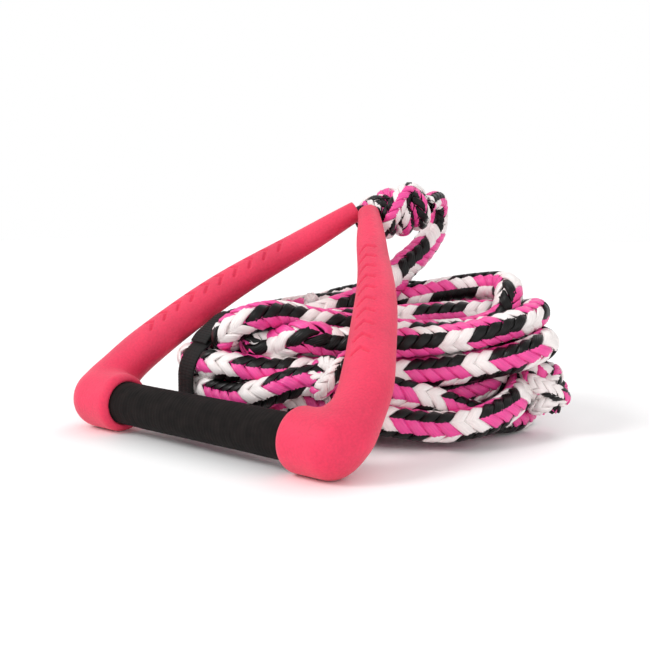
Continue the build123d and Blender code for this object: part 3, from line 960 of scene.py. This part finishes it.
class TOWROPE_OT_arms(bpy.types.Operator):
    """Makes the two foam arms, with the hub run into the arm and a row of pressed chevrons"""

    bl_idname = "towrope.arms"
    bl_label = "Foam arms"

    def execute(self, context):
        finish = moulded_foam(context.scene.tow_rope_colours.foam)
        line = read_line("arm_line", [handle_place(*c) for c in ARM_CORNERS], ARM_STEP)
        points, faces, edges, normals = remeshed("arm_right")
        points = even_out(points, edges, np.full(len(points), SKIN_WEIGHT), SKIN_ROUNDS)
        away = np.linalg.norm(points - handle_place(*BLEND_PLACE), axis=1)
        near = np.clip((BLEND_TO - away) / (BLEND_TO - BLEND_FROM), 0, 1)
        from_axis = points - handle_place(0, 0) - np.outer(points[:, 0], [1, 0, 0])
        inner = np.linalg.norm(from_axis, axis=1) < SOCKET_RADIUS
        near[inner & (points[:, 0] < SOCKET_END)] = 0
        near[points[:, 0] < FACE_END] = 0
        points = even_out(points, edges, near, BLEND_ROUNDS)
        away = np.linalg.norm(points - handle_place(*SWELL_PLACE), axis=1)
        swell = SWELL_HIGH * np.exp(-(away / SWELL_WIDE) ** 2)
        points += normals * swell[:, None] * near[:, None]
        points = even_out(points, edges, near, SWELL_ROUNDS)
        place, across, total = along_arm(points, line)
        facing = np.clip((normals @ PLANE_OUT - MARK_FACING) / MARK_FADE, 0, 1)
        depth = chevron_depth(place, across, total) * facing
        points -= normals * (depth * MARK_DEPTH)[:, None]
        tip_way = unit(line[-1] - line[-1 - TIP_POINTS])
        reach = np.clip((place - total + TIP_RUN) / TIP_RUN, 0, 1) ** 2
        points += reach[:, None] * TIP_REACH * tip_way
        left = (points + reach[:, None] * LEFT_TIP_MORE * tip_way) * MIRROR
        bow = np.sin(np.clip(place / total, 0, 1) * math.pi) ** 2
        left[:, 0] -= bow * LEFT_BOW
        points[:, 0] += bow * RIGHT_BOW
        for name, skin, order, node in (("foam_arm_right", points, faces, "arm_right"),
                                        ("foam_arm_left", left, faces[:, ::-1], "arm_left")):
            piece = mesh_piece(name, skin, order, finish)
            seat(piece, "handle", "foam", node)
        return {"FINISHED"}


SLEEVE_WALL, SLEEVE_EDGE, SLEEVE_GROUND = 2.9 * MM, 1.2 * MM, 0.3 * MM
SLEEVE_RINGS, SLEEVE_SIDES = 240, 160
CORNER, LIP_HIGH, LIP_LONG = 0.35, 0.4 * MM, 0.3 * MM    # the corner's cut, and the lip inside it
GRIND_RINGS = ((0.07 * MM, 2.3, 0.0), (0.05 * MM, 0.9, 1.0))  # depth, waves and start of the rings
LOBES, LOBE_HIGH = ((3, 0.11), (7, -0.07)), 0.09 * MM    # lobes round the sleeve, and their twist


class TOWROPE_OT_bar(bpy.types.Operator):
    """Makes the grip's rubber sleeve and gives the bar, plugs and washers their finishes"""

    bl_idname = "towrope.bar"
    bl_label = "Bar and grip"

    def execute(self, context):
        half = (sleeve_high.x - sleeve_low.x) / 2
        inner = SLEEVE_RADIUS - SLEEVE_WALL
        run = np.linspace(SLEEVE_EDGE - half, half - SLEEVE_EDGE, SLEEVE_RINGS)
        edge = ((half - CORNER * SLEEVE_EDGE, SLEEVE_RADIUS - CORNER * SLEEVE_EDGE),
                (half, SLEEVE_RADIUS - SLEEVE_EDGE), (half, inner + LIP_HIGH),
                (half - LIP_LONG, inner))
        profile = [(-x, r) for x, r in reversed(edge)] + [(x, SLEEVE_RADIUS) for x in run] + [*edge]
        x, radius = np.array(profile).T
        turn = np.linspace(0, 2 * math.pi, SLEEVE_SIDES, endpoint=False)
        long = x[:, None] / MM
        ground = sum(depth * np.sin(long * waves + start) for depth, waves, start in GRIND_RINGS)
        uneven = LOBE_HIGH * sum(np.sin(lobes * turn + long * twist) for lobes, twist in LOBES)
        worn = radius[:, None] == SLEEVE_RADIUS
        r = radius[:, None] + np.where(worn, ground + uneven - SLEEVE_GROUND, 0)
        points = np.stack([np.broadcast_to(x[:, None], r.shape), BAR_AXIS.y + r * np.cos(turn),
                           BAR_AXIS.z + r * np.sin(turn)], axis=-1).reshape(-1, 3)
        faces = tube_faces(len(x), SLEEVE_SIDES, closed=True)
        grip = mesh_piece("grip_skin", points, faces,
                          ground_rubber(context.scene.tow_rope_colours.grip))
        seat(grip, "handle", "grip_rubber", "grip_sleeve")
        tube = plain_finish("drawn_aluminium", linear("#C9CBCD"), 0.4, 0.35, metallic=1.0)
        plug = plain_finish("moulded_nylon", linear("#2A2A2C"), 0.5, 0.45)
        washer = plain_finish("stamped_stainless", linear("#D2D2D0"), 0.6, 0.28, metallic=1.0)
        for node, finish in (("bar_tube", tube), ("bar_plug_left", plug), ("bar_plug_right", plug),
                             ("bar_washer_left", washer), ("bar_washer_right", washer)):
            refinish(node, finish)
        return {"FINISHED"}


BRIDLE_WIDTH, BRIDLE_STEP = 8 * MM, 1.3 * MM
HITCH_BACK, HITCH_RADIUS, HITCH_WRAPS, HITCH_WIDTH = 15 * MM, 11.5 * MM, 3.6, 14.5 * MM
HITCH_ANGLE = 0.6


class TOWROPE_OT_handle_ropes(bpy.types.Operator):
    """Makes the bridle rope through the arms and the knot that ties the line to it"""

    bl_idname = "towrope.handle_ropes"
    bl_label = "Bridle and knot"

    def execute(self, context):
        side = [handle_place(*corner) for corner in LOOP_CORNERS] + [hub_place(*LOOP_TOP)]
        other = [corner * MIRROR for corner in reversed(side)]
        points = read_line("bridle_line", np.array(side + other), BRIDLE_STEP, closed=True)
        colours = context.scene.tow_rope_colours
        black = spun_polypropylene("spun_polyester_black", colours.rope_black, 0.4, 0.28)
        every = (tuple(range(STRANDS_EACH_WAY)),) * 2
        widths = np.full(len(points), BRIDLE_WIDTH)
        place, faces, uv = braid_strands(points, widths, every, closed=True)
        bridle = mesh_piece("bridle_braid", place, faces, black, uv)
        seat(bridle, "handle", "rope_black", "bridle_rope")
        first, second = (hub_place(*lump) for lump in KNOT_LUMPS)
        knot = tied_knot("handle_hitch", first - unit(second - first) * HITCH_BACK,
                         hub_place(*RISER_ROUTE[0]), HITCH_RADIUS, HITCH_WRAPS, HITCH_WIDTH,
                         rope_finishes(colours), first=HITCH_ANGLE)
        seat_rope(knot, "handle", "handle_knot")
        return {"FINISHED"}


class TOWROPE_OT_strap(bpy.types.Operator):
    """Makes the webbing strap round the coil, its patches and its flap"""

    bl_idname = "towrope.strap"
    bl_label = "Strap"

    def execute(self, context):
        colour = context.scene.tow_rope_colours.webbing
        webbing = woven_webbing("woven_polypropylene_webbing", colour)
        pile = plain_finish("brushed_nylon_loop", colour, 0.5, 0.9, depth=0.5)
        hooks = plain_finish("moulded_nylon_hook", colour, 0.6, 0.5, depth=0.4)
        place, way, run = rounded_outline(np.array(STRAP_INSIDE) * MM,
                                          np.array(STRAP_FILLETS) * MM, BAND_STEP)
        band = webbing_band("strap_band", place, way, run, STRAP_THICK, STRAP_WIDTH, webbing,
                            closed=True)
        loop_at = STRAP_THICK + GLUE_GAP
        hook_at = loop_at + PATCH_THICK + GLUE_GAP
        tab_at = hook_at + PATCH_THICK + GLUE_GAP
        patch = (TAB_START + PATCH_INSET, TAB_LENGTH - 2 * PATCH_INSET, STRAP_WIDTH - 2 * MM)
        loops = slope_band("strap_loop_pile", loop_at, PATCH_THICK, *patch, pile)
        hook = slope_band("strap_hook_pile", hook_at, PATCH_THICK, *patch, hooks)
        tab = slope_band("strap_flap_band", tab_at, TAB_THICK, TAB_START, TAB_LENGTH,
                         STRAP_WIDTH, webbing, RIB_HIGH, TAB_DROOP)
        for piece, body, node, slot in (
            (band, "rope", "bundle_strap", "webbing"),
            (loops, "rope", "strap_loop_patch", "patch_pile"),
            (hook, "strap_flap", "strap_hook_patch", "patch_hook"),
            (tab, "strap_flap", "strap_tab", "webbing"),
        ):
            seat(piece, body, slot, node)
        return {"FINISHED"}


class TOWROPE_OT_tag(bpy.types.Operator):
    """Gives the blank tag its finish"""

    bl_idname = "towrope.tag"
    bl_label = "Tag"

    def execute(self, context):
        refinish("rope_tag", plain_finish("coated_tag_card", context.scene.tow_rope_colours.tag,
                                          0.8, 0.5))
        return {"FINISHED"}


class TOWROPE_PT_panel(bpy.types.Panel):
    """Lists the steps that build the tow rope handle"""

    bl_idname = "TOWROPE_PT_panel"
    bl_label = "Tow Rope"
    bl_space_type = "VIEW_3D"
    bl_region_type = "UI"
    bl_category = "Tow Rope"

    def draw(self, context):
        for name in TowRopeSizes.__annotations__:
            self.layout.prop(context.scene.tow_rope_sizes, name)
        for name in TowRopeColours.__annotations__:
            self.layout.prop(context.scene.tow_rope_colours, name)
        for step in STEPS:
            self.layout.operator(step.bl_idname)


STEPS = (TOWROPE_OT_stage, TOWROPE_OT_line, TOWROPE_OT_handle_ropes, TOWROPE_OT_arms, TOWROPE_OT_bar,
         TOWROPE_OT_strap, TOWROPE_OT_tag)
CLASSES = (TowRopeSizes, TowRopeColours, *STEPS, TOWROPE_PT_panel)


def register():
    for kind in CLASSES:
        bpy.utils.register_class(kind)
    bpy.types.Scene.tow_rope_sizes = PointerProperty(type=TowRopeSizes)
    bpy.types.Scene.tow_rope_colours = PointerProperty(type=TowRopeColours)


def unregister():
    del bpy.types.Scene.tow_rope_colours
    del bpy.types.Scene.tow_rope_sizes
    for kind in reversed(CLASSES):
        bpy.utils.unregister_class(kind)


def main():
    register()
    for step in STEPS:
        area, name = step.bl_idname.split(".")
        getattr(getattr(bpy.ops, area), name)()


if __name__ == "__main__":
    main()
